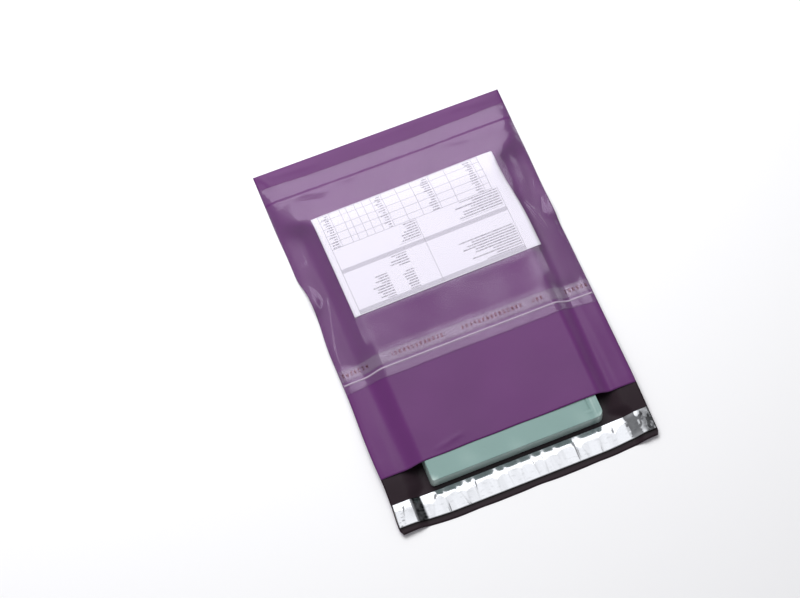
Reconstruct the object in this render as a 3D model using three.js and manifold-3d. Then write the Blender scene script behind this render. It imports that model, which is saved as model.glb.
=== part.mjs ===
// Poly mailer bag, lying on its back with the flap open. It holds a boxed item in its mouth and a
// packing slip in the clear document pouch on its front panel.
//
// Millimetres. X runs across the bag, Y from the flap (-Y) to the bottom fold (+Y), and Z up from
// the surface it lies on. The origin is on that surface, under the middle of the bag.

import * as THREE from 'three';
import { mergeVertices } from 'three/addons/utils/BufferGeometryUtils.js';
import Module from 'manifold-3d';

const wasm = await Module();
wasm.setup();

// Bag
const BAG_WIDTH = 280;
const BAG_LENGTH = 420; // bottom fold to the end of the open flap
const FLAP_LENGTH = 58;
const SIDE_WELD = 4;
const FOLD_DEPTH = 4; // solid part of the bottom fold
const FILM = 0.2; // drawn thicker than the real film
const SLACK = 0.5; // least room between the two panels
const CLEARANCE = 0.3; // between pieces that touch
const CORNER_LIFT = 8.5; // how far the flap's corners stand off the surface
const LIFT_CURVE = 1.4; // above 1, the side seams curl up later on their way to the flap
const SHELF_FROM = 97; // beside the box the film climbs from here,
const SHELF_TO = 124; // and runs level from here to the seam
const SHOULDER = 25; // width over which the film drops beside the box
const STRAIGHT = 0.4; // share of that drop that runs straight on to the seam
const FAR_CURVE = 1.5; // above 1, the film drops sooner past the box's far end
const EDGE_SLACK = 0.4; // share of the least room that is left at the closed edges

// Boxed item
const GOODS_WIDTH = 186;
const GOODS_LENGTH = 295;
const GOODS_HEIGHT = 15.5;
const GOODS_OVERHANG = 23; // how far it sticks out of the mouth
const GOODS_CORNER = 3;
const GOODS_EDGE = 1;

// Packing slip: an A4 sheet folded in a Z, its last panel shorter
const SLIP_WIDTH = 209;
const SLIP_PANEL = 120;
const SLIP_LAST_PANEL = 57;
const SLIP_CENTRE = [3.2, 76.9];
const SLIP_YAW = THREE.MathUtils.degToRad(0.48);
const PLY = 0.15;
const PLY_GAP = 0.2;
const SLIP_DROOP = 1.2; // at its right-hand edge, past the box
const SLIP_STEPS = 22; // facets across its width

// Document pouch
const POUCH_EDGE_Y = -56; // open edge
const POUCH_WELD_Y = 175;
const POUCH_TOP_Y = 192;
const POUCH_STRIP = [-44, -27]; // peel-off liner
const POUCH_BEAD = [-43, -39]; // adhesive
const REST_Y = POUCH_WELD_Y - 4; // nothing lifts the front panel from here to the bottom fold
const CLING_WIDTH = 9; // the pouch film comes down to the panel this near a side seam,
const CLING_LENGTH = 11; // and this far below REST_Y
const STRIP_RAMP = [-70, -48]; // where it climbs over the strip, above its open edge,
const STRIP_RUNOFF = [-26, -5]; // and where it leaves it

// Flap
const FLAP_STRIP = [-202, -176]; // peel-off liner
const FLAP_BAND = [-199, -179]; // adhesive
const STRIP = 0.15; // thickness of each liner and adhesive
const STRIP_INSET = 1; // from the side of the bag

const HALF_WIDTH = BAG_WIDTH / 2;
const FOLD_Y = BAG_LENGTH / 2;
const FLAP_END_Y = -BAG_LENGTH / 2;
const MOUTH_Y = FLAP_END_Y + FLAP_LENGTH;
const GOODS_HALF = GOODS_WIDTH / 2;
const GOODS_FRONT_Y = MOUTH_Y - GOODS_OVERHANG;
const GOODS_FAR_Y = GOODS_FRONT_Y + GOODS_LENGTH;
const GOODS_BASE = FILM + CLEARANCE;
const PANEL_TOP = GOODS_BASE + GOODS_HEIGHT + CLEARANCE + FILM; // front panel over the box
const SLIP_THICKNESS = 3 * PLY + 2 * PLY_GAP;
const SLIP_BASE = PANEL_TOP + CLEARANCE;
const POUCH_LIFT = SLIP_THICKNESS + 2 * CLEARANCE; // pouch film over the front panel
const SLIP_MARGIN = 2; // flat pouch film past the slip's edges

// Grid lines shared by every film layer, so that layers one above another never cross
const ACROSS = mirrored([
  0, 50, GOODS_HALF, SHELF_FROM, 102, 106, 110, 116, 123, 130, 136, HALF_WIDTH - STRIP_INSET, HALF_WIDTH,
]);
const ALONG = [
  FLAP_END_Y, FLAP_STRIP[0], -190, FLAP_STRIP[1], -166, MOUTH_Y, -128, -100, -76, POUCH_EDGE_Y,
  ...POUCH_STRIP, -12, 4, 16, 60, 95, GOODS_FAR_Y, 130, 139, 147, 155, 163, 171, 179, POUCH_TOP_Y,
  200, FOLD_Y - FOLD_DEPTH, FOLD_Y,
];

function mirrored(half) {
  const left = half.filter((x) => x > 0).map((x) => -x).reverse();
  return [...left, ...half];
}

// The lines between two places, with those places as the first and last line
function between(lines, from, to) {
  return [from, ...lines.filter((line) => line > from && line < to), to];
}

// 0 before the start, 1 past the end, and a smooth rise between them
function rise(value, start, end) {
  return THREE.MathUtils.smoothstep((value - start) / (end - start), 0, 1);
}

// The side seams curl up from the bottom fold to the flap
function seamLift(y) {
  const towardsFlap = (FOLD_Y - y) / BAG_LENGTH;
  return CORNER_LIFT * rise(towardsFlap ** LIFT_CURVE, 0, 1);
}

// Underside of the back panel and flap: flat under the box, with a raised shelf along each seam
function backBottom(x, y) {
  return seamLift(y) * rise(Math.abs(x), SHELF_FROM, SHELF_TO);
}

const backTop = (x, y) => backBottom(x, y) + FILM;

// A sheet lying over a flat-topped thing, as a share of its height: level on it, dropping over a
// shoulder beside it and then stretched straight to the side seam, and falling to 0 at endY
function drape(x, y, left, right, farY, endY) {
  const past = Math.max(x > 0 ? x - right : left - x, 0);
  const span = HALF_WIDTH - (x > 0 ? right : -left);
  const side = STRAIGHT * (1 - past / span) + (1 - STRAIGHT) * (1 - rise(past, 0, SHOULDER));
  const far = 1 - THREE.MathUtils.clamp((y - farY) / (endY - farY), 0, 1);
  return side * far ** FAR_CURVE;
}

// Top of the front panel where nothing lifts it: just clear of the back panel, closing at the edges
function slackTop(x, y) {
  const open = rise(HALF_WIDTH - Math.abs(x), 0, SIDE_WELD) * rise(FOLD_Y - y, 0, FOLD_DEPTH);
  return backBottom(x, y) + 2 * FILM + SLACK * (EDGE_SLACK + (1 - EDGE_SLACK) * open);
}

function frontTop(x, y) {
  const slack = slackTop(x, y);
  const lift = drape(x, y, -GOODS_HALF, GOODS_HALF, GOODS_FAR_Y, REST_Y);
  return slack + (PANEL_TOP - slack) * lift;
}

const frontBottom = (x, y) => frontTop(x, y) - FILM;

// The pouch film lies level over the packing slip, which is wider than the box and reaches past it
function pouchBottom(x, y) {
  const overSlip = rise(y, POUCH_STRIP[1], SLIP_CENTRE[1] - SLIP_PANEL / 2 - SLIP_MARGIN);
  const reach = SLIP_WIDTH / 2 + SLIP_MARGIN - GOODS_HALF;
  const left = -GOODS_HALF - overSlip * (reach - SLIP_CENTRE[0]);
  const right = GOODS_HALF + overSlip * (reach + SLIP_CENTRE[0]);
  const farY = SLIP_CENTRE[1] + SLIP_PANEL / 2 + SLIP_MARGIN;
  const slack = slackTop(x, y);
  const lift = drape(x, y, left, right, farY, REST_Y);
  const panel = Math.max(frontTop(x, y), slack + (PANEL_TOP - slack) * lift);
  const free = rise(HALF_WIDTH - Math.abs(x), STRIP_INSET, CLING_WIDTH);
  const overStrip = rise(y, ...STRIP_RAMP) * (1 - rise(y, ...STRIP_RUNOFF));
  const belowWeld = 1 - rise(y, REST_Y - CLING_LENGTH, REST_Y);
  return panel + CLEARANCE + (POUCH_LIFT - CLEARANCE) * Math.max(free, overStrip) * belowWeld;
}

// Closed solid between two height functions over a grid of X and Y lines
function layer(xs, ys, bottom, top) {
  const positions = [];
  for (const height of [bottom, top]) {
    for (const y of ys) {
      for (const x of xs) positions.push(x, y, height(x, y));
    }
  }
  const columns = xs.length;
  const rows = ys.length;
  const at = (side, row, column) => (side * rows + row) * columns + column;
  const faces = [];
  const quad = (a, b, c, d) => faces.push(a, b, c, a, c, d);
  for (let row = 0; row < rows - 1; row += 1) {
    for (let column = 0; column < columns - 1; column += 1) {
      const corners = (side) => [
        at(side, row, column), at(side, row, column + 1),
        at(side, row + 1, column + 1), at(side, row + 1, column),
      ];
      const [a, b, c, d] = corners(0);
      faces.push(a, c, b, a, d, c);
      quad(...corners(1));
    }
  }
  const wall = (from, to) => quad(at(0, ...from), at(0, ...to), at(1, ...to), at(1, ...from));
  for (let column = 0; column < columns - 1; column += 1) {
    wall([0, column], [0, column + 1]);
    wall([rows - 1, column + 1], [rows - 1, column]);
  }
  for (let row = 0; row < rows - 1; row += 1) {
    wall([row + 1, 0], [row, 0]);
    wall([row, columns - 1], [row + 1, columns - 1]);
  }
  const geometry = new THREE.BufferGeometry();
  geometry.setAttribute('position', new THREE.Float32BufferAttribute(positions, 3));
  geometry.setIndex(faces);
  return geometry;
}

function toSolid(geometry) {
  const merged = mergeVertices(geometry);
  return new wasm.Manifold(new wasm.Mesh({
    numProp: 3,
    vertProperties: merged.getAttribute('position').array,
    triVerts: new Uint32Array(merged.index.array),
  }));
}

function toGeometry(solid) {
  const { vertProperties, triVerts } = solid.getMesh();
  const geometry = new THREE.BufferGeometry();
  geometry.setAttribute('position', new THREE.BufferAttribute(vertProperties, 3));
  geometry.setIndex(new THREE.BufferAttribute(triVerts, 1));
  return geometry;
}

// One web: back panel and front panel joined at the bottom fold and the side welds, with the back
// panel running on as the flap. The room between the panels opens at the mouth.
function mailerFilm() {
  const body = toSolid(layer(ACROSS, between(ALONG, MOUTH_Y, FOLD_Y), backBottom, frontTop));
  const innerHalf = HALF_WIDTH - SIDE_WELD;
  const innerRows = between(ALONG, FLAP_END_Y, FOLD_Y - FOLD_DEPTH);
  const room = toSolid(layer(between(ACROSS, -innerHalf, innerHalf), innerRows, backTop, frontBottom));
  const flap = toSolid(layer(ACROSS, between(ALONG, FLAP_END_Y, MOUTH_Y), backBottom, backTop));
  return toGeometry(body.subtract(room).add(flap));
}

function pouchFilm() {
  const rows = between(ALONG, POUCH_EDGE_Y, POUCH_TOP_Y);
  return layer(ACROSS, rows, pouchBottom, (x, y) => pouchBottom(x, y) + FILM);
}

// A strip across the bag, a given distance above the film it is stuck to
function strip([from, to], surface, above) {
  const half = HALF_WIDTH - STRIP_INSET;
  const bottom = (x, y) => surface(x, y) + above;
  const top = (x, y) => bottom(x, y) + STRIP;
  return layer(between(ACROSS, -half, half), between(ALONG, from, to), bottom, top);
}

// Section of the folded slip in (y, z): a zigzag of three plies joined by two folds
function slipSection() {
  const near = -SLIP_PANEL / 2;
  const far = SLIP_PANEL / 2;
  const last = far - SLIP_LAST_PANEL;
  const step = PLY + PLY_GAP;
  const outline = [
    [last, 0], [far - step, 0], [far, PLY], [far, step], [far - step, step + PLY],
    [near + step, step + PLY], [near + step, 2 * step], [far, 2 * step], [far, 2 * step + PLY],
    [near + step, 2 * step + PLY], [near, 2 * step], [near, step + PLY], [near + step, step],
    [far - step, step], [far - step, PLY], [last, PLY],
  ];
  return new THREE.Shape(outline.map(([y, z]) => new THREE.Vector2(y, z)));
}

function packingSlip() {
  const geometry = new THREE.ExtrudeGeometry(slipSection(), {
    depth: SLIP_WIDTH, steps: SLIP_STEPS, bevelEnabled: false,
  });
  // The section was drawn in (x, y) and pushed along z: turn it to (y, z), pushed along x
  const turn = new THREE.Matrix4().set(
    0, 0, 1, -SLIP_WIDTH / 2,
    1, 0, 0, 0,
    0, 1, 0, 0,
    0, 0, 0, 1,
  );
  geometry.applyMatrix4(turn);
  geometry.rotateZ(SLIP_YAW);
  geometry.translate(...SLIP_CENTRE, SLIP_BASE);
  const position = geometry.getAttribute('position');
  for (let i = 0; i < position.count; i += 1) {
    const droop = SLIP_DROOP * rise(position.getX(i), GOODS_HALF, SLIP_CENTRE[0] + SLIP_WIDTH / 2);
    position.setZ(i, position.getZ(i) - droop);
  }
  return geometry;
}

function goodsBox() {
  const half = GOODS_HALF - GOODS_EDGE;
  const length = GOODS_LENGTH - 2 * GOODS_EDGE;
  const outline = new THREE.Shape();
  outline.moveTo(-half + GOODS_CORNER, 0);
  outline.lineTo(half - GOODS_CORNER, 0);
  outline.absarc(half - GOODS_CORNER, GOODS_CORNER, GOODS_CORNER, -Math.PI / 2, 0);
  outline.absarc(half - GOODS_CORNER, length - GOODS_CORNER, GOODS_CORNER, 0, Math.PI / 2);
  outline.absarc(-half + GOODS_CORNER, length - GOODS_CORNER, GOODS_CORNER, Math.PI / 2, Math.PI);
  outline.absarc(-half + GOODS_CORNER, GOODS_CORNER, GOODS_CORNER, Math.PI, 1.5 * Math.PI);
  const geometry = new THREE.ExtrudeGeometry(outline, {
    depth: GOODS_HEIGHT - 2 * GOODS_EDGE,
    bevelThickness: GOODS_EDGE,
    bevelSize: GOODS_EDGE,
    bevelSegments: 2,
    curveSegments: 3,
  });
  geometry.translate(0, GOODS_FRONT_Y + GOODS_EDGE, GOODS_BASE + GOODS_EDGE);
  return geometry;
}

const bag = new THREE.Group();

function addPiece(name, geometry, color, roughness, metalness = 0) {
  const material = new THREE.MeshStandardMaterial({ color, roughness, metalness });
  const piece = new THREE.Mesh(geometry, material);
  piece.name = name;
  bag.add(piece);
  return piece;
}

addPiece('mailer_film', mailerFilm(), 0x73487d, 0.45);
addPiece('goods_box', goodsBox(), 0x8caaa5, 0.35);
addPiece('packing_slip', packingSlip(), 0xebe8f3, 0.9);
addPiece('pouch_liner', strip(POUCH_STRIP, frontTop, CLEARANCE), 0xd8c4cf, 0.6);
addPiece('pouch_adhesive', strip(POUCH_BEAD, frontTop, 2 * CLEARANCE + STRIP), 0xb9b2a6, 0.3);
addPiece('flap_adhesive', strip(FLAP_BAND, backTop, CLEARANCE), 0xd6d2c4, 0.3);
addPiece('flap_liner', strip(FLAP_STRIP, backTop, 2 * CLEARANCE + STRIP), 0xe4e4e8, 0.2, 0.9);

const pouch = addPiece('pouch_film', pouchFilm(), 0xc9b6d2, 0.15);
pouch.material.transparent = true;
pouch.material.opacity = 0.4;

export default bag;
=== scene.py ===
"""Poly mailer bag with its flap open, holding a boxed item and, in its clear pouch, a packing slip.

Lengths in this script are millimetres in the bag's own frame, X across, Y from the flap to the
bottom fold and Z up, until place() puts them into a mesh in metres.
"""

import bpy
import numpy as np
from mathutils import Matrix, Vector


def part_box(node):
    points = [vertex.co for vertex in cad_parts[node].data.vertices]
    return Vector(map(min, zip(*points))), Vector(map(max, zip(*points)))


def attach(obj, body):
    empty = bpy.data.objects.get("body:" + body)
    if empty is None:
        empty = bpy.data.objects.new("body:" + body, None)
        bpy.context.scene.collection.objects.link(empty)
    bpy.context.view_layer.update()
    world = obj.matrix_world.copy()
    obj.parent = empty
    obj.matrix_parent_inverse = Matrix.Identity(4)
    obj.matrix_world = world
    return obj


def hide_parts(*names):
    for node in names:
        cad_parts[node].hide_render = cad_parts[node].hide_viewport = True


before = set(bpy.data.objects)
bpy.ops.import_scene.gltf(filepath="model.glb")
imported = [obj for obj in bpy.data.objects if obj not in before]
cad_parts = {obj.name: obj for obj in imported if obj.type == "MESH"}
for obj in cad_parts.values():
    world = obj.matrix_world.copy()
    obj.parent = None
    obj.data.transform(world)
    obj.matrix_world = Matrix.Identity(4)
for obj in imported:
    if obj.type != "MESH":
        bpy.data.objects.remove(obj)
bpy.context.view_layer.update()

MM = 0.001
BODY = "root"


def node_box(node):
    """Lowest and highest corner of a CAD node, in millimetres."""
    low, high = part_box(node)
    return np.array(low) / MM, np.array(high) / MM


# Places taken from the frame
BAG_LOW, BAG_HIGH = node_box("mailer_film")
GOODS_LOW, GOODS_HIGH = node_box("goods_box")
POUCH_LOW, POUCH_HIGH = node_box("pouch_film")
TAPE_LOW, TAPE_HIGH = node_box("pouch_liner")
BEAD_LOW, BEAD_HIGH = node_box("pouch_adhesive")
FLAP_TAPE_LOW, FLAP_TAPE_HIGH = node_box("flap_liner")
GLUE_LOW, GLUE_HIGH = node_box("flap_adhesive")
SLIP_LOW, SLIP_HIGH = node_box("packing_slip")

HALF_WIDTH = BAG_HIGH[0]
LENGTH = BAG_HIGH[1] - BAG_LOW[1]
FOLD_Y = BAG_HIGH[1]
FLAP_END_Y = BAG_LOW[1]
GOODS_OVERHANG = 23.0
MOUTH_Y = GOODS_LOW[1] + GOODS_OVERHANG
WELD_Y = 172.4
FLAP_REACH = 4.2
GOODS_HALF = GOODS_HIGH[0]
PANEL_TOP = BAG_HIGH[2]

# The strips lie where the film carries them: the pouch's a little nearer its edge, and the flap's
# further out, as far as the film of the flap reaches past its drawn end
STRIP_LOW, STRIP_HIGH = TAPE_LOW + (0, 2.6, 0), TAPE_HIGH - (0, 1.6, 0)
LINE_LOW, LINE_HIGH = BEAD_LOW - (0, 3.2, 0), BEAD_HIGH - (0, 5.2, 0)
BAND_LOW, BAND_HIGH = GLUE_LOW - (0, FLAP_REACH, 0), GLUE_HIGH - (0, FLAP_REACH, 0)
LINER_LOW, LINER_HIGH = FLAP_TAPE_LOW - (0, FLAP_REACH + 1, 0), FLAP_TAPE_HIGH - (0, FLAP_REACH, 0)

# Pleats of the flap's liner: place across the bag, lean, width and depth of each
PLEATS = (
    (-131, 0.1, 0.9, 0.3), (-99, 0.3, 2.0, 0.15), (-85.5, 0.05, 0.9, 0.55), (-69, -0.3, 1.0, 0.5),
    (-63, 0.1, 1.8, 0.25), (-53.5, 0.05, 1.3, 0.45), (-30, 0.1, 2.2, 0.2), (-18, -0.1, 1.2, 0.3),
    (-4, 0.1, 2.0, 0.15), (11, 0.0, 1.0, 0.35), (21.5, 0.1, 1.4, 0.35), (36, -0.1, 2.2, 0.15),
    (56, 0.05, 0.8, 0.7), (62, -0.25, 1.2, 0.3), (81.5, 0.1, 1.2, 0.35), (99, 0.15, 2.0, 0.25),
)

# How the film lies
CORNER_LIFT = 8.5
BUCKLE = 4.6
SHELF_FROM = 97.0
SHELF_TO = 122.0
STRAIGHT = 0.2
RISE_END_Y = 190.0
SLACK = 0.5
FILM = 0.12
POUCH_GAP = 0.35


# ---------------------------------------------------------------- shape functions

def rise(value, start, end):
    """0 before start, 1 past end, and 3t^2 - 2t^3 between them."""
    t = np.clip((value - start) / (end - start), 0.0, 1.0)
    return t * t * (3 - 2 * t)


def hump(value, centre, width):
    """A bell: e to the minus square of the distance from centre over width."""
    return np.exp(-(((value - centre) / width) ** 2))


def ripple(x, y, size, seed, waves=18):
    """Sum of plane waves of about the given size in random directions, with unit spread."""
    random = np.random.default_rng(seed)
    total = np.zeros(np.broadcast(x, y).shape)
    for _ in range(waves):
        turn, phase = random.uniform(0, 2 * np.pi, 2)
        pitch = size * random.uniform(0.7, 1.6)
        total += np.cos(2 * np.pi * (x * np.cos(turn) + y * np.sin(turn)) / pitch + phase)
    return total * np.sqrt(2 / waves)


def ridge(x, y, start, end, height, width, sharp=False):
    """A raised line from start to end, fading out at both ends. Across it the height falls as a bell,
    or as e to the minus distance over width where it is sharp."""
    (x0, y0), (x1, y1) = start, end
    length = np.hypot(x1 - x0, y1 - y0)
    ux, uy = (x1 - x0) / length, (y1 - y0) / length
    along = (x - x0) * ux + (y - y0) * uy
    across = (y - y0) * ux - (x - x0) * uy
    ends = rise(along, 0, 0.3 * length) * rise(length - along, 0, 0.3 * length)
    profile = np.exp(-np.abs(across) / width) if sharp else hump(across, 0, width)
    return height * ends * profile


def facets(x, y, corners, peak, height):
    """A pyramid over a convex outline whose corners run anticlockwise: the height is the least of the
    heights of the planes that run from each side up to the peak."""
    least = np.full(np.broadcast(x, y).shape, np.inf)
    for (x0, y0), (x1, y1) in zip(corners, corners[1:] + corners[:1]):
        side = np.hypot(x1 - x0, y1 - y0)
        inside = ((x1 - x0) * (y - y0) - (y1 - y0) * (x - x0)) / side
        at_peak = ((x1 - x0) * (peak[1] - y0) - (y1 - y0) * (peak[0] - x0)) / side
        least = np.minimum(least, inside / at_peak)
    return height * np.maximum(least, 0.0)


def seam_lift(x, y):
    """How far the side seams stand off the floor: nothing at the fold, most at the mouth and less
    again at the flap's end. Beside the slip each seam has buckled and stands up by itself."""
    lift = CORNER_LIFT * rise(((FOLD_Y - y) / LENGTH).clip(0, 1) ** 1.4, 0, 1)
    lift = lift * (1 - 0.62 * rise(-y, 135, 212))
    crest = np.where(x < 0, 50, 56)
    buckle = hump(y, crest, np.where(y > crest, 24, 11))
    return lift, BUCKLE * buckle * rise(np.abs(x), 125, HALF_WIDTH)


def smooth_least(a, b, soft):
    """The lesser of two heights, rounded where they cross: the log of the sum of their exponentials."""
    return -soft * np.logaddexp(-a / soft, -b / soft)


def pulled_in(x, y):
    """How far the film is drawn towards the middle of the bag where its seams have puckered."""
    down = -y
    left = 1.0 * rise(down, -150, -100) * (1 - rise(down, 60, 150))
    left = left + 3.9 * rise(down, -86, -58) * (1 - rise(down, -50, 10))
    left = left + 1.3 * rise(down, -60, -20) * (1 - rise(down, 50, 110))
    left = left + 0.8 * hump(down, 160, 18) - 1.2 * rise(down, 182, 205)
    right = 0.5 * hump(y, 55, 25) - 0.8 * rise(y, 70, 130)
    return np.where(x < 0, left, -right) * rise(np.abs(x), 96, HALF_WIDTH)


def set_back(x, y):
    """How far the end of the flap and what lies on it draw back towards the mouth at both sides."""
    return 2.6 * rise(np.abs(x), 80, 130) * rise(-y, 170, 212)


def back_height(x, y):
    """Middle of the back panel and flap: flat under the box, a raised shelf along each seam that is
    reached by a steeper step on the flap."""
    on_flap = rise(-y, 168, 180)
    start = SHELF_FROM + on_flap * np.where(x < 0, 11, 15)
    end = SHELF_TO + on_flap * np.where(x < 0, 0, 4)
    shelf = rise(np.abs(x), start, end)
    waves = 0.25 * ripple(x, y, 46, 3) * rise(-y, 140, 200) * rise(np.abs(x), 60, 110)
    lift, buckle = seam_lift(x, y)
    return 0.1 + (lift + np.maximum(waves, -0.05)) * shelf + buckle


def side_profile(x, left, right, straight, shoulders=(23.0, 23.0)):
    """Share of the height across the bag: level between left and right, then a mix of a straight
    fall to the seam and a drop over a shoulder of its own width on each side."""
    past = np.maximum(np.where(x > 0, x - right, left - x), 0.0)
    span = HALF_WIDTH - np.where(x > 0, right, -left)
    shoulder = np.minimum(np.where(x > 0, shoulders[1], shoulders[0]), span)
    return straight * (1 - past / span) + (1 - straight) * (1 - rise(past, 0, shoulder))


def far_profile(y, far_y):
    """Share of the height along the bag: it grows without limit on the mouth side of far_y, where it
    is 1, and falls to 0 near the fold."""
    return np.maximum((RISE_END_Y - y) / (RISE_END_Y - far_y), 0.0) ** 1.2


def kink(y):
    """How soft the film's bend is between the sides of the box and its far end, as a height share."""
    return 0.05 + 0.07 * rise(y, 128, 152)


def slack_height(x, y):
    """The front panel where nothing lifts it: just clear of the back panel, closed at its edges."""
    open_width = rise(HALF_WIDTH - np.abs(x), 0, 5) * rise(FOLD_Y - y, 0, 5)
    return back_height(x, np.maximum(y, -150)) + 0.15 + SLACK * open_width


def panel_lift(x, y):
    """Share of the full height the front panel reaches over the box."""
    straight = STRAIGHT + (1 - STRAIGHT) * rise(y, 112, 150)
    side = side_profile(x, -GOODS_HALF - 0.5, GOODS_HALF + 2.5, straight, (25.0, 20.0))
    side = 1 - (1 - side) ** (1 + 1.2 * rise(y, 122, 155))
    return np.maximum(smooth_least(side, far_profile(y, GOODS_HIGH[1]), kink(y)), 0.0)


def front_height(x, y):
    """Middle of the front panel: over the box, down its sides to the seam shelf and its far end."""
    slack = slack_height(x, y)
    z = slack + (PANEL_TOP - 0.1 - slack) * panel_lift(x, y)
    free = rise(HALF_WIDTH - np.abs(x), 0, 14) * rise(FOLD_Y - y, 0, 12)
    z += 0.10 * ripple(x, y, 70, 11) * free
    z += 0.22 * ripple(x, 0.35 * y, 34, 12) * free * rise(np.abs(x), 90, 112)
    z += mouth_creases(x, y)
    z += fold_creases(x, y)
    return z


def mouth_creases(x, y):
    """The cut edge of the mouth buckles near its left corner."""
    z = facets(x, y, [(-78, -156), (-26, -156), (-40, -141), (-62, -138)], (-58, -150), -0.3)
    z += ridge(x, y, (-80, -146), (-42, -138), 0.45, 2.2)
    return z


def fold_creases(x, y):
    """Soft creases between the bottom fold and the pouch, at both ends of the fold."""
    z = ridge(x, y, (-140, 205), (-60, 200), 0.5, 3.0)
    z += ridge(x, y, (-136, 212), (-124, 190), 0.9, 2.5, sharp=True)
    z += ridge(x, y, (70, 208), (140, 200), 0.6, 3.5)
    z += ridge(x, y, (-20, 204), (70, 209), 0.3, 4.0)
    return z


def pouch_height(x, y):
    """Middle of the pouch film: stuck down along its lower edge, then stretched from the slip, which
    is wider than the box, to the seams, and welded at its top."""
    over_slip = rise(y, -52, -20)
    left = -GOODS_HALF + over_slip * (SLIP_LOW[0] + GOODS_HALF)
    past_goods = SLIP_HIGH[0] - GOODS_HALF - 2 + 5 * rise(y, 84, 100)
    right = GOODS_HALF + over_slip * past_goods * (1 - 0.5 * rise(y, 112, 145))
    under = front_height(x, y)
    slack = slack_height(x, y)
    slack_share = 0.6 * rise(y, 76, 96) * (1 - rise(y, 124, 150))
    taut = side_profile(x, left, right, 1.0 - slack_share, (20.0, 22.0))
    taut = 1 - (1 - taut) ** (1 + 1.2 * rise(y, 122, 150))
    # The bend is softer still towards the pouch's top corners
    soft = kink(y) + 0.08 * rise(np.abs(x), 98, 114) * rise(y, 92, 120)
    lift = np.maximum(smooth_least(taut, far_profile(y, GOODS_HIGH[1] + 3), soft), 0.0)
    stretched = slack + (PANEL_TOP + 0.3 - slack) * lift
    above = np.logaddexp(0.0, 2.5 * (stretched - under)) / 2.5
    free = rise(y, -29, -10) * (1 - rise(y, WELD_Y - 14, WELD_Y - 2))
    beside = rise(np.abs(x - 3), 100, 112) * (1 - rise(y, 108, 132))
    slip = (1 - beside) * rise(y, 4, 19) * (1 - rise(y, 136, 166))
    z = under + POUCH_GAP + (above + 0.35) * free * rise(HALF_WIDTH - np.abs(x), 0, 6) + 0.6 * slip
    z += pouch_creases(x, y) * rise(HALF_WIDTH + 1 - np.abs(x), 0, 4) * rise(y, -48, -34)
    return np.maximum(z, under + POUCH_GAP)


def film_share_and_painted_light(x, y):
    """Share of the pouch film that stands off the panel, with air behind it: the film clings to the
    purple film in patches between the slip and the peel-off strip. Over the shoulders beside the box,
    just above the strip, the share is raised so the film mirrors more: painted light on slopes that
    lie in shade."""
    below_slip = rise(y, -26, -22) * (1 - rise(y, 10, 16)) * (1 - rise(np.abs(x), 84, 96))
    patches = 0.35 + 0.25 * np.tanh(1.2 * ripple(x, 0.3 * y, 55, 27))
    weld = np.abs(y - WELD_Y - 0.9 * rise(np.abs(x), 0, 100)) < 1.3
    # Painted light: over the shoulders the film is made to mirror more, which lightens slopes that lie
    # in shade
    shoulder = rise(np.abs(x), 92, 98) * (1 - rise(np.abs(x), 113, 118))
    return (1 - below_slip * (1 - patches)) * (1 - weld) + 0.3 * shoulder * (1 - rise(y, -28, -20))


def pouch_creases(x, y):
    """Creases of the pouch film between the slip and the side seams, and along the top weld."""
    below_weld = 1 - rise(y, WELD_Y - 8, WELD_Y)
    outside_slip = rise(np.abs(x - 3), 104, 116) + rise(y, 138, 146) + rise(-y, -16, -6)
    z = 0.35 * ripple(x, 0.6 * y, 30, 21) * np.clip(outside_slip, 0, 1) * below_weld
    # left side: a pocket beside the buckled seam, and the fold that runs down from it
    z += facets(x, y, [(-140, 88), (-136, 42), (-110, 46)], (-121.5, 52), -2.6)
    z += ridge(x, y, (-119.5, 62), (-131, 16), 1.7, 1.5, sharp=True)
    z += ridge(x, y, (-128.5, 26), (-134.5, -6), 1.3, 1.3, sharp=True)
    z += ridge(x, y, (-133, 4), (-137, -26), 1.2, 1.2, sharp=True)
    z += ridge(x, y, (-136, 168), (-62, 150), 0.4, 3.5)
    z += ridge(x, y, (-120, 158), (-66, 143), -0.3, 3.0)
    z += ridge(x, y, (-86, 149), (-70, 147), -0.5, 0.9, sharp=True)
    # right side: a narrow blade beside the slip, and a pocket beside the buckled seam
    z += facets(x, y, [(110, 80), (114.5, 52), (125.5, 29), (122, 60)], (120.5, 54), 2.5)
    z += ridge(x, y, (109, 82), (126.5, 26), 0.9, 1.1, sharp=True)
    z += facets(x, y, [(140, 92), (116, 60), (140, 46)], (126, 57), -3.4)
    z += ridge(x, y, (126, 57), (138, 35), 0.9, 1.3, sharp=True)
    z += ridge(x, y, (138, 168), (96, 150), 0.6, 3.5)
    z += ridge(x, y, (139, 162), (118, 140), 0.6, 2.0, sharp=True)
    # small puckers along the seams and at the ends of the weld
    pucker = ripple(x, y, 7, 25) * rise(np.abs(x), 126, 136)
    z += 0.3 * pucker * (hump(y, 5, 36) + hump(y, 160, 16) + hump(y, 188, 7))
    return z


# ---------------------------------------------------------------- meshes

def place(name, points, faces, replaces=(), uv=None, shade=None):
    """A mesh from points in millimetres and a list of faces, riding on the bag's one body. uv is the
    sheet laid flat, in millimetres, and shade a number from 0 to 1 for its material to read."""
    mesh = bpy.data.meshes.new(name)
    mesh.from_pydata((points.reshape(-1, 3) * MM).tolist(), [], faces)
    mesh.polygons.foreach_set("use_smooth", np.ones(len(mesh.polygons), bool))
    if uv is not None:
        corner = np.zeros(len(mesh.loops), int)
        mesh.loops.foreach_get("vertex_index", corner)
        layer = mesh.uv_layers.new(name="flat")
        layer.data.foreach_set("uv", (uv.reshape(-1, 2)[corner] * MM).astype(np.float32).ravel())
    if shade is not None:
        attribute = mesh.attributes.new("shade", "FLOAT", "POINT")
        attribute.data.foreach_set("value", shade.astype(np.float32).ravel())
    mesh.update()
    piece = bpy.data.objects.new(name, mesh)
    bpy.context.scene.collection.objects.link(piece)
    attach(piece, BODY)
    if replaces:
        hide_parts(*replaces)
    return piece


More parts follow.
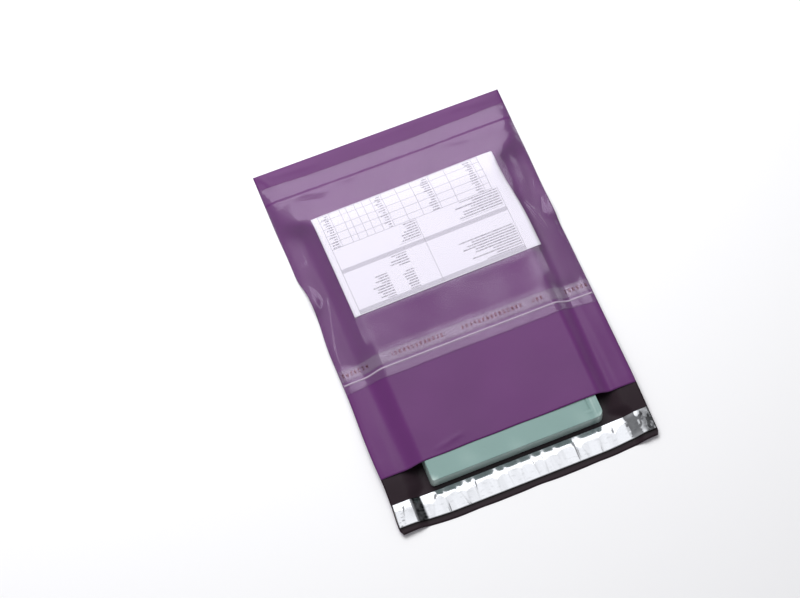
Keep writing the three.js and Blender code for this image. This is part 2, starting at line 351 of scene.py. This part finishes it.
def grid_faces(rows, columns):
    """Quads of a grid of points. Their normals point to +Z where columns run along X and rows
    along Y."""
    index = np.arange(rows * columns).reshape(rows, columns)
    corners = (index[:-1, :-1], index[:-1, 1:], index[1:, 1:], index[1:, :-1])
    return np.stack([c.ravel() for c in corners], axis=1)


def thicken(piece, thickness, offset=0.0, inner=0, rim=0):
    """Gives an open sheet its thickness, with its own material inside where one is named."""
    solid = piece.modifiers.new("thickness", "SOLIDIFY")
    solid.thickness = thickness * MM
    solid.offset = offset
    solid.use_even_offset = True
    solid.material_offset = inner
    solid.material_offset_rim = rim
    return piece


def lines(*spans):
    """Places along a line: each span is (from, to, step), and neighbouring spans share an end."""
    parts = [np.linspace(a, b, max(int(round(abs(b - a) / step)), 1) + 1)[:-1] for a, b, step in spans]
    return np.concatenate(parts + [[spans[-1][1]]])


def mailer_web():
    """One web: along the flap, under the box as the back panel, round the bottom fold and back over
    the box as the front panel. Points are (x, web position); the side seams hold its two edges."""
    across = lines((-HALF_WIDTH, -88, 1.9), (-88, 88, 4.4), (88, HALF_WIDTH, 1.9))
    end_y = FLAP_END_Y - FLAP_REACH
    back_y = lines((end_y, MOUTH_Y, 2.2), (MOUTH_Y, FOLD_Y - 1, 6.0))
    front_y = lines((FOLD_Y - 1, 130, 2.2), (130, -56, 2.6), (-56, MOUTH_Y, 1.9))
    x, y = np.meshgrid(across, back_y)
    corner = 1 - rise(y, end_y, end_y + 7)
    trimmed = np.sign(x) * np.minimum(np.abs(x), HALF_WIDTH - 2.5 * corner ** 2)
    cut_y = y + set_back(x, y) + 0.3 * ripple(x, 0 * x, 45, 7) * rise(-y, 205, 214)
    back = np.stack([trimmed + pulled_in(x, y), cut_y, back_height(x, y)], axis=-1)
    x, y = np.meshgrid(across, front_y)
    cut_y = y + 0.15 * ripple(x, 0 * x, 60, 5) * rise(-y, 130, 152)
    front = np.stack([x + pulled_in(x, y), cut_y, front_height(x, y)], axis=-1)
    bend = 0.5 * (back[-1:] + front[:1]) + np.array([0, 0.9, 0])
    points = np.concatenate([back, bend, front])
    travel = np.concatenate([back_y, [FOLD_Y], 2 * FOLD_Y - front_y])
    uv = np.stack(np.meshgrid(across, travel), axis=-1)
    rows, columns = points.shape[:2]
    # Columns run along X and the first rows along +Y, so the face normals point into the bag: turn
    # them to make the purple side the outer one
    faces = grid_faces(rows, columns)[:, ::-1].tolist()
    piece = place("mailer_web", points, faces, ["mailer_film"], uv)
    piece.data.materials.append(purple_film())
    piece.data.materials.append(black_film())
    return thicken(piece, FILM, offset=-1.0, inner=1)


def pouch_sheet():
    """The clear pouch film, a height function over the front panel."""
    across = lines((-HALF_WIDTH, -100, 1.15), (-100, 100, 3.2), (100, HALF_WIDTH, 1.15))
    along = lines((POUCH_LOW[1], -20, 1.8), (-20, 12, 3.0), (12, 140, 1.5), (140, 166, 1.3),
                  (166, 180, 0.7), (180, POUCH_HIGH[1], 1.2))
    x, y = np.meshgrid(across, along)
    near_low, near_high = hump(y, POUCH_LOW[1], 12), hump(y, POUCH_HIGH[1], 10)
    edge = 0.25 * ripple(x, 0 * x, 60, 8) * (near_low + near_high)
    edge += 2.2 * near_low * hump(np.abs(x), 108, 14)
    edge += 1.8 * near_high * (rise(np.abs(x), 20, 125) - 0.6)
    points = np.stack([x * 0.999 + pulled_in(x, y), y + edge, pouch_height(x, y)], axis=-1)
    uv = np.stack([x, y], axis=-1)
    faces = grid_faces(*x.shape).tolist()
    piece = place("pouch_sheet", points, faces, ["pouch_film"], uv, film_share_and_painted_light(x, y))
    piece.data.materials.append(clear_film())
    return thicken(piece, 0.08)


def tape(name, low, high, height, above, thickness, node, material, step=1.2, shade=None):
    """A strip across the bag, a given distance above the film it lies on."""
    x, y = np.meshgrid(lines((low[0], high[0], step)), lines((low[1], high[1], step)))
    points = np.stack([x + pulled_in(x, y), y + set_back(x, y), height(x, y) + above], axis=-1)
    faces, uv = grid_faces(*x.shape).tolist(), np.stack([x, y], axis=-1)
    piece = place(name, points, faces, [node], uv, shade(x, y) if shade else None)
    piece.data.materials.append(material)
    return thicken(piece, thickness)


def across_pleats(x, y):
    """Each pleat's (distance across it, width, depth). A pleat leans about the liner's middle, fades
    along its length from a place of its own and stops short of the edge that is rolled down."""
    middle = 0.5 * (LINER_LOW[1] + LINER_HIGH[1])
    for place_x, lean, width, depth in PLEATS:
        deepest = middle - 3 + 8 * np.sin(2.3 * place_x)
        kept = (0.25 + 0.75 * hump(y, deepest, 9)) * rise(LINER_HIGH[1] - y, 2, 7)
        yield x - place_x - lean * (y - middle), width, 0.62 * depth * kept


def pleated_height(x, y):
    """The flap's liner: the flap's own shape, its edge towards the box rolled down, further at each
    pleat than between them, with the pleats as narrow valleys and a crushed right-hand end."""
    near = sum(hump(gap, 0, 3.0) for gap, _, _ in across_pleats(x, y)).clip(0, 1)
    roll = 9.5 + 1.2 * ripple(x, 0 * x, 14, 42) + 3.0 * near
    z = back_height(x, y) + 1.7 * rise(LINER_HIGH[1] - y, -1.0, roll)
    z = z - sum(depth * hump(gap, 0, width) for gap, width, depth in across_pleats(x, y))
    return z + rise(x, 109, 116) * (0.4 + 0.2 * ripple(x, y, 14, 43) + 0.08 * ripple(x, y, 5, 44))


def liner_marks_and_painted_shade(x, y):
    """Share of the liner's mirror that is left, with painted shade: less along the middles of the
    pleats, where shade falls in them, little on the strip turned up on the left, painted dark for the
    dim room it faces, and painted dull grey as shade over its crushed right-hand end but for a patch
    and its lower edge, which keep their mirror."""
    # Painted shade along the middle of each pleat, and on the strip turned up at the left, which would
    # mirror a dim room
    pleat_painted_shade = sum(0.9 * depth * hump(gap, 0, 0.6 * width) for gap, width, depth in across_pleats(x, y))
    turned_up_strip_shade = rise(x, -120.5, -117.5) * (1 - rise(x, -110, -107.5))
    # Painted shade: the crushed right-hand end is painted dull grey, but for a patch and its lower edge
    end = rise(x, 110, 112.5) * (1 - 0.9 * hump(x, 121, 5.0) * hump(y, -182, 2.4))
    end = end * (1 - 0.9 * hump(y, -206, 3.0) * (1 - rise(x, 126, 131)))
    end = end * (0.42 + 0.36 * rise(x, 126, 130))
    smudged = (ripple(x, 2 * y, 7, 45) - 1.0).clip(0, 1) * (rise(-x, 124, 138) + 0.15)
    return 1 - np.clip(0.88 * turned_up_strip_shade + end + pleat_painted_shade + 0.7 * smudged, 0, 1)


def slip_sheet():
    """The packing slip: one A4 sheet folded in a Z. The path runs along the short inner panel, back
    along the middle one and out along the printed one; it is carried across the width."""
    gap, clearance = 0.32, 0.2
    bottom = PANEL_TOP + 0.25
    half, last = 60.0, 57.0
    turn = np.linspace(-np.pi / 2, np.pi / 2, 7)[1:-1]
    bend = gap / 2
    far_fold = np.stack([half - bend + bend * np.cos(turn), bend * (1 + np.sin(turn))], axis=1)
    near_fold = np.stack([-half + bend - bend * np.cos(turn), bend * (3 + np.sin(turn))], axis=1)
    runs = (
        [(v, 0.0) for v in np.linspace(half - last, half - gap, 12)], far_fold,
        [(v, gap) for v in np.linspace(half - gap, -half + gap, 16)], near_fold,
        [(v, 2 * gap) for v in np.linspace(-half + gap, half, 60)],
    )
    path = np.concatenate([np.array(run) for run in runs])
    across = lines((-104.5, 104.5, 3.2))
    u, v = np.meshgrid(across, path[:, 0])
    lift = np.repeat(path[:, 1:2], len(across), axis=1)
    yaw = np.radians(1.0)
    centre = 0.5 * (SLIP_LOW + SLIP_HIGH) + np.array([0, 1.2, 0])
    x = centre[0] + u * np.cos(yaw) - v * np.sin(yaw)
    y = centre[1] + u * np.sin(yaw) + v * np.cos(yaw)
    over = np.maximum(x - (GOODS_HALF + 1), 0.0)
    curl = np.radians(3.2) * rise(y, 35, 118) * over + 1e-6
    x = x - over * (1 - np.sin(curl) / curl) - 0.17 * over * rise(y, 60, 125)
    droop = over * (1 - np.cos(curl)) / curl + 0.5 * rise(-x, GOODS_HALF - 3, -SLIP_LOW[0])
    bow = 0.15 * ripple(x, y, 120, 31)
    panel = front_height(np.clip(x, -88, 88), y) - front_height(np.clip(x, -88, 88), 60 + 0 * y)
    sag = np.minimum(panel, 0.0) * rise(y, 100, 122)
    # Held under the pouch film, and never through the panel that the slip lies on
    z = np.minimum(bottom - droop + bow + sag, pouch_height(x, y) - 2 * gap - clearance)
    z = np.maximum(z, front_height(x, y) + clearance) + lift
    points = np.stack([x, y, z], axis=-1)
    faces, uv = grid_faces(*u.shape).tolist(), np.stack([u, v], axis=-1)
    piece = place("slip_sheet", points, faces, ["packing_slip"], uv)
    piece.data.materials.append(printed_paper())
    return thicken(piece, 0.1)


def outline(half_x, half_y, radii, counts=(38, 56), arc=6):
    """A rectangle with rounded corners, as a closed loop that runs anticlockwise from the corner of +X
    and -Y: an arc at each corner and equal steps along each side. radii are given in that order."""
    loop = []
    signs = [(1, -1), (1, 1), (-1, 1), (-1, -1)]
    for corner, ((sx, sy), radius) in enumerate(zip(signs, radii)):
        turn = np.linspace(-np.pi / 2, 0, arc) + corner * np.pi / 2
        centre = np.array([sx * (half_x - radius), sy * (half_y - radius)])
        bend = centre + radius * np.stack([np.cos(turn), np.sin(turn)], axis=1)
        following = (corner + 1) % 4
        (nx, ny), next_radius = signs[following], radii[following]
        start = -np.pi / 2 + following * np.pi / 2
        target = np.array([nx * (half_x - next_radius), ny * (half_y - next_radius)])
        target = target + next_radius * np.array([np.cos(start), np.sin(start)])
        share = np.linspace(0, 1, counts[(corner + 1) % 2] + 2)[1:-1, None]
        loop += [bend, bend[-1] + (target - bend[-1]) * share]
    return np.concatenate(loop)


def goods_pack():
    """The boxed item: a rounded outline carried up a profile of (inset, height), its walls leaning
    in a little, and closed by shrinking rings at the top and bottom."""
    low, high = GOODS_LOW.copy(), GOODS_HIGH.copy()
    low[0] -= 1.0
    low[1] -= 1.2
    high[0] += 2.2
    high[2] -= 0.3
    lean, edge = 1.4, 0.8
    height = high[2] - low[2]
    turn = np.linspace(0, np.pi / 2, 7)
    foot = np.stack([0.8 * (1 - np.sin(turn)), 0.8 * (1 - np.cos(turn))], axis=1)
    wall = np.array([(lean * 0.5, height * 0.5)])
    brow = np.stack([lean + edge * (1 - np.cos(turn)), height - edge * (1 - np.sin(turn))], axis=1)
    floor = np.array([(92.5, 0.0), (30, 0.0), (3.0, 0.0)])
    insets = np.concatenate([np.arange(2.9, 15.0, 0.7), [17, 22, 30, 40, 50, 60, 70, 82, 92.5]])
    lid = np.column_stack([insets, np.full(len(insets), height)])
    profile = np.concatenate([floor, foot, wall, brow, lid])
    half_x, half_y = 0.5 * (high[0] - low[0]), 0.5 * (high[1] - low[1])
    rings = []
    for inset, z in profile:
        radii = [max(r - inset, 0.4) for r in (8.0, 4.0, 4.0, 4.0)]
        loop = outline(half_x - inset, half_y - inset, radii)
        rings.append(np.column_stack([loop, np.full(len(loop), z)]))
    points = np.stack(rings) + np.array([0.5 * (low[0] + high[0]), 0.5 * (low[1] + high[1]), low[2]])
    x, y, z = points[..., 0], points[..., 1], points[..., 2]
    top = rise(z, high[2] - 2, high[2])
    points[..., 2] += top * (0.12 * ripple(x, y, 45, 51) + wrap_folds(x, y))
    count = points.shape[1]
    faces = [grid_faces(len(points), count)]
    row = np.arange(len(points) - 1) * count
    faces.append(np.stack([row + count - 1, row, row + count, row + 2 * count - 1], axis=1))
    faces = np.concatenate(faces).tolist()
    faces.append(list(range(count))[::-1])
    faces.append(list(range((len(points) - 1) * count, len(points) * count)))
    # The wrap's tone with its painted light and shade, for the material to read
    white = wrap_tone_and_painted_light(x, y, z, high)
    piece = place("goods_pack", points, faces, ["goods_box"], shade=white)
    piece.data.materials.append(wrapped_card())
    return piece


def wrap_folds(x, y):
    """Folds of the shrink wrap along the right-hand edge of the boxed item."""
    return (-0.4 * hump(x, 82.3, 0.7) + 0.2 * hump(x, 84.5, 1.0) - 0.25 * hump(x, 87.8, 0.8)
            + 0.15 * hump(x, 91, 0.8) - 0.15 * ripple(x, 0.2 * y, 5, 52) * rise(x, 82, 84))


def wrap_tone_and_painted_light(x, y, z, high):
    """How light the wrap is: the lid's own tone and the doubled strip along the right-hand edge of the
    lid, with painted light on the walls, which face away from the lights, a painted highlight along the
    lid's edges, painted glints at the front corners, and painted shade in the fold line at the strip's
    inner side with a faint painted highlight beside it."""
    # Painted light: the walls are lighter, a painted highlight runs along the lid's edges and painted
    # glints sit at the front corners
    wall = 1 - rise(z, high[2] - 2.0, high[2] - 0.6)
    edge = hump(z, high[2] - 0.9, 0.5) * (1 - rise(y, high[1] - 8, high[1]))
    corner = hump(np.abs(x - 0.5), 92, 4.0) * hump(y, MOUTH_Y - 22, 3.0)
    strip = rise(x, 82.6, 84.0) * (0.45 + 0.25 * ripple(x, 0.12 * y, 4, 53))
    # Painted shade in the fold line, with a faint painted highlight beside it
    fold_line_painted_shade = hump(x, 82.2, 0.7) - 0.3 * hump(x, 86.8, 0.5)
    return np.clip(0.37 + 0.33 * wall + 0.45 * edge + 0.4 * corner + 0.13 * strip - 0.3 * fold_line_painted_shade, 0, 1)


# ---------------------------------------------------------------- materials

def linear(colour):
    """An sRGB hex colour as linear red, green, blue and alpha."""
    channels = [int(colour[i:i + 2], 16) / 255 for i in (1, 3, 5)]
    return [c / 12.92 if c <= 0.04045 else ((c + 0.055) / 1.055) ** 2.4 for c in channels] + [1.0]


def add(tree, kind, inputs=None, **settings):
    """Adds a node. The settings are its properties; inputs gives each input socket, by name or
    number, a value or the output socket it is linked from."""
    node = tree.nodes.new(kind)
    for key, value in settings.items():
        setattr(node, key, value)
    for key, value in (inputs or {}).items():
        if isinstance(value, bpy.types.NodeSocket):
            tree.links.new(value, node.inputs[key])
        else:
            node.inputs[key].default_value = value
    return node


def new_material(name):
    """A material with an empty node tree, and that tree."""
    material = bpy.data.materials.new(name)
    material.use_nodes = True
    material.node_tree.nodes.clear()
    return material, material.node_tree


def finish_material(material, shader):
    """Links the shader to the material's output."""
    output = material.node_tree.nodes.new("ShaderNodeOutputMaterial")
    material.node_tree.links.new(shader.outputs[0], output.inputs["Surface"])
    return material


def film_bump(tree, coarse_mm, fine_mm, height_mm, strength=1.0):
    """Bump of drawn film: soft buckles and finer crinkles, sized from millimetres."""
    spot = add(tree, "ShaderNodeTexCoord").outputs["Object"]
    coarse = add(tree, "ShaderNodeTexNoise",
                 {"Vector": spot, "Scale": 1 / (coarse_mm * MM), "Detail": 3.0})
    fine = add(tree, "ShaderNodeTexNoise", {"Vector": spot, "Scale": 1 / (fine_mm * MM), "Detail": 2.0})
    both = add(tree, "ShaderNodeMath", {0: fine.outputs["Fac"], 1: 0.25, 2: coarse.outputs["Fac"]},
               operation="MULTIPLY_ADD")
    bump = add(tree, "ShaderNodeBump", {"Height": both.outputs[0], "Strength": strength,
                                        "Distance": height_mm * MM})
    return bump.outputs["Normal"]


def ramp(tree, factor, stops):
    """A colour ramp with a stop for each (position, sRGB hex colour)."""
    node = add(tree, "ShaderNodeValToRGB", {"Fac": factor})
    elements = node.color_ramp.elements
    while len(elements) < len(stops):
        elements.new(0.5)
    for element, (position, colour) in zip(elements, stops):
        element.position = position
        element.color = linear(colour)
    return node.outputs["Color"]


def purple_film():
    """Coextruded LDPE film, pigmented and blown: an even satin purple with a faint broad sheen."""
    material, tree = new_material("blown_ldpe_film_purple")
    spot = add(tree, "ShaderNodeTexCoord").outputs["Object"]
    cloud = add(tree, "ShaderNodeTexNoise", {"Vector": spot, "Scale": 1 / (60 * MM), "Detail": 2.0})
    tone = ramp(tree, cloud.outputs["Fac"], [(0.35, "#57235F"), (0.65, "#5B2563")])
    shader = add(tree, "ShaderNodeBsdfPrincipled", {
        "Base Color": tone, "Roughness": 0.36, "IOR": 1.5, "Normal": film_bump(tree, 24, 5, 0.12)})
    return finish_material(material, shader)


def black_film():
    """The black inner layer of the same film: it keeps light out and gives a soft grey sheen."""
    material, tree = new_material("blown_ldpe_film_black")
    shader = add(tree, "ShaderNodeBsdfPrincipled", {
        "Base Color": linear("#1D0D17"), "Roughness": 0.4, "Specular IOR Level": 0.35,
        "Normal": film_bump(tree, 18, 4, 0.12)})
    return finish_material(material, shader)


def clear_film():
    """Clear LDPE film: nearly see-through, each of its two faces mirroring a few hundredths of the
    light, and less of it where the film clings or is welded to the purple film."""
    material, tree = new_material("clear_ldpe_film")
    normal = film_bump(tree, 14, 3, 0.1)
    lift = add(tree, "ShaderNodeAttribute", attribute_name="shade")
    facing = add(tree, "ShaderNodeLayerWeight", {"Blend": 0.5, "Normal": normal})
    grazing = math(tree, "POWER", facing.outputs["Facing"], 5.0)
    mirrored = math(tree, "MULTIPLY_ADD", grazing, 0.9, 0.045)
    alpha = math(tree, "MULTIPLY", mirrored, lift.outputs["Fac"])
    shader = add(tree, "ShaderNodeBsdfPrincipled", {
        "Base Color": linear("#F6EAFF"), "Metallic": 0.9, "Roughness": 0.2,
        "Alpha": alpha, "Normal": normal})
    return finish_material(material, shader)


def math(tree, operation, *values):
    """A math node on values or sockets; gives its output socket."""
    return add(tree, "ShaderNodeMath", dict(enumerate(values)), operation=operation).outputs[0]


def inside(tree, value, low, high):
    """1 where the value lies between low and high, given in millimetres."""
    return math(tree, "COMPARE", value, 0.5 * (low + high) * MM, 0.5 * (high - low) * MM)


def rectangle(tree, flat, low_x, high_x, low_y, high_y):
    """1 inside a rectangle of the flat sheet, in millimetres."""
    across = inside(tree, flat["X"], low_x, high_x)
    return math(tree, "MULTIPLY", across, inside(tree, flat["Y"], low_y, high_y))


def union(tree, masks):
    """The highest of several masks."""
    whole = masks[0]
    for mask in masks[1:]:
        whole = math(tree, "MAXIMUM", whole, mask)
    return whole


def flat_place(tree):
    """The outputs X and Y of a piece's place on its own sheet laid flat, in metres."""
    flat = add(tree, "ShaderNodeUVMap", uv_map="flat")
    return add(tree, "ShaderNodeSeparateXYZ", {"Vector": flat.outputs["UV"]}).outputs


def rules(tree, value, centres, width):
    """1 on ruled lines of the given centres and width, in millimetres."""
    return union(tree, [inside(tree, value, c - width / 2, c + width / 2) for c in centres])


def writing(tree, flat, right, low, high, longest, pitch=2.9, letter=1.0):
    """Rows of dashes that stand for lines of text: each row ends at the right and has its own
    length, and a grain the size of letters breaks it up."""
    row = math(tree, "FLOOR", math(tree, "DIVIDE", flat["Y"], pitch * MM))
    within = math(tree, "FRACT", math(tree, "DIVIDE", flat["Y"], pitch * MM))
    body = math(tree, "COMPARE", within, 0.5, 0.25)
    seed = math(tree, "ADD", row, right)
    own = add(tree, "ShaderNodeTexWhiteNoise", {"W": seed}, noise_dimensions="1D")
    length = math(tree, "MULTIPLY_ADD", own.outputs["Value"], 0.6 * longest * MM, 0.4 * longest * MM)
    left_of = math(tree, "SUBTRACT", right * MM, flat["X"])
    begun = math(tree, "GREATER_THAN", left_of, 0.0)
    started = math(tree, "MULTIPLY", begun, math(tree, "LESS_THAN", left_of, length))
    spot = add(tree, "ShaderNodeCombineXYZ", {"X": flat["X"], "Y": math(tree, "MULTIPLY", row, 0.01)})
    grain = add(tree, "ShaderNodeTexNoise",
                {"Vector": spot.outputs[0], "Scale": 1 / (letter * MM), "Detail": 1.0})
    inked = math(tree, "GREATER_THAN", grain.outputs["Fac"], 0.46)
    dashes = math(tree, "MULTIPLY", body, inked)
    block = math(tree, "MULTIPLY", dashes, inside(tree, flat["Y"], low, high))
    return math(tree, "MULTIPLY", block, started)


# Stretches of the release tape that carry marks, across the bag
MARKED_SPANS = ((-137, -106), (-80, 86), (105, 139))


def release_tape():
    """Siliconed polythene release tape, pale and half see-through, with a row of small reddish marks
    set wide apart, as lettering is."""
    material, tree = new_material("siliconed_release_tape")
    flat = flat_place(tree)
    spans = union(tree, [inside(tree, flat["X"], *span) for span in MARKED_SPANS])
    cell = math(tree, "FRACT", math(tree, "DIVIDE", flat["X"], 4.6 * MM))
    stem = math(tree, "COMPARE", cell, 0.5, 0.27)
    spot = add(tree, "ShaderNodeUVMap", uv_map="flat").outputs["UV"]
    grain = add(tree, "ShaderNodeTexNoise", {"Vector": spot, "Scale": 1 / (2.4 * MM), "Detail": 1.0})
    strokes = math(tree, "GREATER_THAN", grain.outputs["Fac"], 0.42)
    words = add(tree, "ShaderNodeTexNoise", {"W": flat["X"], "Scale": 1 / (30 * MM), "Detail": 0.0},
                noise_dimensions="1D")
    spoken = math(tree, "GREATER_THAN", words.outputs["Fac"], 0.36)
    row = inside(tree, flat["Y"], -36.8, -32.4)
    mark = math(tree, "MULTIPLY", strokes, spoken)
    mark = math(tree, "MULTIPLY", mark, math(tree, "MULTIPLY", stem, row))
    mark = math(tree, "MULTIPLY", mark, spans)
    colour = add(tree, "ShaderNodeMix", data_type="RGBA")
    colour.inputs[6].default_value = linear("#EADFEF")
    colour.inputs[7].default_value = linear("#66163F")
    tree.links.new(mark, colour.inputs[0])
    shader = add(tree, "ShaderNodeBsdfPrincipled", {
        "Base Color": colour.outputs[2], "Metallic": 0.4, "Roughness": 0.25,
        "Alpha": math(tree, "MULTIPLY_ADD", mark, 0.75, 0.08), "Normal": film_bump(tree, 12, 3, 0.1)})
    return finish_material(material, shader)


def hot_melt(name, colour, alpha):
    """Hot-melt adhesive, rolled on: a glossy, half-clear layer."""
    material, tree = new_material(name)
    shader = add(tree, "ShaderNodeBsdfPrincipled", {
        "Base Color": linear(colour), "Roughness": 0.3, "Alpha": alpha,
        "Normal": film_bump(tree, 6, 1.5, 0.06)})
    return finish_material(material, shader)


def silver_tape():
    """Metallised release film: a bright mirror broken by fine pleats and handling marks. The shade
    attribute darkens it with painted shade along the pleats, on the strip turned up at the left and
    over the crushed end, and broad bands along it are partly haze and partly painted reflection of
    soft wrinkles.
    """
    material, tree = new_material("metallised_release_film")
    # shade is the share of mirror left after the handling marks and the painted shade
    left = add(tree, "ShaderNodeAttribute", attribute_name="shade").outputs["Fac"]
    spot = add(tree, "ShaderNodeTexCoord").outputs["Object"]
    upright = add(tree, "ShaderNodeMapping", {"Vector": spot, "Scale": (1.0, 0.2, 1.0)}).outputs[0]
    worn = add(tree, "ShaderNodeTexNoise", {"Vector": spot, "Scale": 1 / (4 * MM), "Detail": 3.0})
    band_noise = add(tree, "ShaderNodeTexNoise", {"Vector": upright, "Scale": 1 / (9 * MM), "Detail": 2.0})
    uneven = math(tree, "MULTIPLY", math(tree, "SUBTRACT", worn.outputs["Fac"], 0.5), 0.6)
    bright = math(tree, "MULTIPLY_ADD", uneven, math(tree, "SUBTRACT", 1.0, left), left)
    # Broad bands along the liner: partly haze of the film, partly painted reflection of its soft
    # wrinkles
    haze_and_wrinkle_sheen = math(tree, "MULTIPLY_ADD", band_noise.outputs["Fac"], 0.45, 0.76)
    bright = math(tree, "MULTIPLY", bright, haze_and_wrinkle_sheen)
    tone = ramp(tree, bright, [(0.0, "#15171A"), (1.0, "#DADCE1")])
    shader = add(tree, "ShaderNodeBsdfPrincipled", {
        "Base Color": tone, "Metallic": 1.0, "Roughness": 0.12, "Normal": film_bump(tree, 9, 2, 0.06)})
    return finish_material(material, shader)


# Print of the slip, on the sheet laid flat about the middle of its printed ply
TABLE_COLUMNS = (-97.5, -85.5, -73.5, -66.5, -57, -48.5, -39, -27, -10.5, 6, 26.5, 45, 76, 83)
TABLE_ROWS = (59, 52.3, 42, 33.7, 25, 17.8)
TABLE_NOTES = (-85.5, -27, 26.5, 76)
RULE = 0.5


def printed_paper():
    """Uncoated 80 g office paper, laser printed: a ruled table across the top, two blocks of small
    writing below it, and grey bands. No print can be read."""
    material, tree = new_material("uncoated_office_paper")
    flat = flat_place(tree)
    table = rectangle(tree, flat, -98, 84, 17.5, 59.5)
    columns = math(tree, "MULTIPLY", rules(tree, flat["X"], TABLE_COLUMNS, RULE), table)
    rows = math(tree, "MULTIPLY", rules(tree, flat["Y"], TABLE_ROWS, RULE), table)
    frame_lines = math(tree, "MULTIPLY", rules(tree, flat["X"], (-97.5, -4.5, 88.5), RULE),
                       inside(tree, flat["Y"], -59, 17.5))
    hairlines = union(tree, [columns, rows, frame_lines])
    bands = union(tree, [rectangle(tree, flat, -97.5, 88.5, low, low + 4.8) for low in (-11.2, -59.2)])
    notes = union(tree, [
        math(tree, "MULTIPLY", writing(tree, flat, edge - 2.0, 17.8, 59, 9.0), table)
        for edge in TABLE_NOTES]
        + [writing(tree, flat, -6, -4, 16.5, 26), writing(tree, flat, 87, -4, 16.5, 58),
           writing(tree, flat, -28, -26, -12.5, 26), writing(tree, flat, -55, -54, -27, 22),
           writing(tree, flat, -28, -54, -32, 14), writing(tree, flat, 87, -54, -26, 62)])
    paper = add(tree, "ShaderNodeMix", {0: math(tree, "MULTIPLY", bands, 0.55)}, data_type="RGBA")
    paper.inputs[6].default_value = linear("#D4D2DB")
    paper.inputs[7].default_value = linear("#85828E")
    ink = math(tree, "MULTIPLY", hairlines, 0.6)
    ink = math(tree, "MAXIMUM", ink, math(tree, "MULTIPLY", notes, 0.75))
    printed = add(tree, "ShaderNodeMix", {0: ink, 6: paper.outputs[2]}, data_type="RGBA")
    printed.inputs[7].default_value = linear("#4A4854")
    shader = add(tree, "ShaderNodeBsdfPrincipled", {
        "Base Color": printed.outputs[2], "Roughness": 0.85, "Normal": film_bump(tree, 1.2, 0.3, 0.01)})
    return finish_material(material, shader)


def wrapped_card():
    """Teal printed card seen through tight clear shrink wrap: a soft colour under a clear gloss,
    lighter where the shade attribute carries painted light and darker where it carries painted shade.
    """
    material, tree = new_material("shrink_wrapped_card")
    white = add(tree, "ShaderNodeAttribute", attribute_name="shade").outputs["Fac"]
    tone = ramp(tree, white, [(0.0, "#55716C"), (0.4, "#779591"), (1.0, "#C3D6D1")])
    shader = add(tree, "ShaderNodeBsdfPrincipled", {
        "Base Color": tone, "Roughness": 0.45, "Coat Weight": 0.6, "Coat Roughness": 0.12,
        "Normal": film_bump(tree, 20, 5, 0.1)})
    return finish_material(material, shader)


# ---------------------------------------------------------------- studio

CAMERA_AZIMUTH = -22.056
CAMERA_ELEVATION = 68.187
CAMERA_DISTANCE = 2.2694
CAMERA_TARGET = Vector((-0.04735, 0.0242, 0.0))
LENS = 98.77


def add_camera():
    """A long lens looking down at the bag from beyond its flap, a little to the left."""
    a, e = np.radians(CAMERA_AZIMUTH), np.radians(CAMERA_ELEVATION)
    back = Vector((np.sin(a) * np.cos(e), -np.cos(a) * np.cos(e), np.sin(e)))
    right = Vector((np.cos(a), np.sin(a), 0.0))
    up = back.cross(right)
    camera = bpy.data.objects.new("camera", bpy.data.cameras.new("camera"))
    camera.data.lens = LENS
    camera.data.sensor_width = 36.0
    turn = Matrix((right, up, back)).transposed().to_4x4()
    camera.matrix_world = Matrix.Translation(CAMERA_TARGET + back * CAMERA_DISTANCE) @ turn
    bpy.context.scene.collection.objects.link(camera)
    bpy.context.scene.camera = camera


def add_light(name, location, target, size, watts, mirrored=True):
    """A soft rectangular light at a place, aimed at a target; mirrored says if gloss reflects it."""
    light = bpy.data.lights.new(name, "AREA")
    light.shape = "RECTANGLE"
    light.size, light.size_y = size
    light.energy = watts
    lamp = bpy.data.objects.new(name, light)
    aim = (Vector(location) - Vector(target)).to_track_quat("Z", "Y")
    lamp.matrix_world = Matrix.Translation(Vector(location)) @ aim.to_matrix().to_4x4()
    lamp.visible_glossy = mirrored
    bpy.context.scene.collection.objects.link(lamp)


def add_studio():
    """A white table under a broad soft light from above the bag's far end, in a grey room."""
    scene = bpy.context.scene
    scene.view_settings.view_transform = "Standard"
    world = bpy.data.worlds.new("room")
    world.use_nodes = True
    world.node_tree.nodes["Background"].inputs["Color"].default_value = (0.38, 0.38, 0.385, 1.0)
    scene.world = world
    add_light("window", (0.33, 1.3, 1.4), (0.15, 0.1, 0.0), (1.15, 1.8), 11.0)
    add_light("overhead", (0.33, 0.32, 1.98), (0.33, 0.32, 0.0), (1.15, 0.62), 2.0)
    add_light("fill", (-0.35, 1.0, 1.4), (0.0, 0.0, 0.0), (1.2, 1.2), 30.0, mirrored=False)
    mesh = bpy.data.meshes.new("table")
    mesh.from_pydata([(-4, -4, 0), (4, -4, 0), (4, 4, 0), (-4, 4, 0)], [], [(0, 1, 2, 3)])
    table = bpy.data.objects.new("table", mesh)
    material, tree = new_material("white_table")
    shader = add(tree, "ShaderNodeBsdfPrincipled", {"Base Color": linear("#ECECEE"), "Roughness": 0.9})
    mesh.materials.append(finish_material(material, shader))
    scene.collection.objects.link(table)


# ---------------------------------------------------------------- build

add_camera()
add_studio()
mailer_web()
pouch_sheet()
pouch_tape = tape("pouch_tape", STRIP_LOW, STRIP_HIGH, front_height, 0.2, 0.08,
                  "pouch_liner", release_tape(), 2.0)
tape("pouch_bead", LINE_LOW, LINE_HIGH, front_height, 0.42, 0.1, "pouch_adhesive",
     hot_melt("hot_melt_bead", "#D6C4DB", 0.36), 2.0)
tape("flap_glue", BAND_LOW, BAND_HIGH, back_height, 0.15, 0.1, "flap_adhesive",
     hot_melt("hot_melt_band", "#CFC8B8", 0.6), 4.0)
flap_tape = tape("flap_tape", LINER_LOW, LINER_HIGH, pleated_height, 0.45, 0.06,
                 "flap_liner", silver_tape(), 0.8, liner_marks_and_painted_shade)
slip_sheet()
goods_pack()
